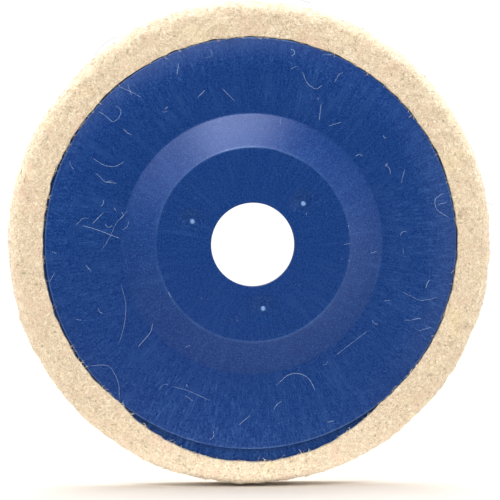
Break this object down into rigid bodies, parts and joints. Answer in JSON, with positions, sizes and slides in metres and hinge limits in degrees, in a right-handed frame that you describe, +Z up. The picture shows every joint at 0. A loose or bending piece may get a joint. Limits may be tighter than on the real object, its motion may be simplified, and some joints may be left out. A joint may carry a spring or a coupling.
{
  "type": "polishing pad",
  "caption": "Thick wool felt polishing pad on a moulded plastic backing plate with a raised hub and a plain arbor bore, for an angle grinder.",
  "frame": {"origin": "centre of the arbor bore in the hub's back face, the face that the grinder's flange clamps", "axes": "+Y along the spin axis from the grinder side to the felt's working face, +Z up, +X to the right when looking at the grinder side; the pad stands on its rim, at -Z"},
  "size_m": [0.13, 0.0182, 0.13],
  "materials": {
    "blue_plastic": "satin",
    "adhesive": "set",
    "wool_felt": "felted"
  },
  "bodies": {
    "root": {"backing_plate": "blue_plastic", "adhesive_layer": "adhesive", "felt_disc": "wool_felt"}
  },
  "joints": []
}
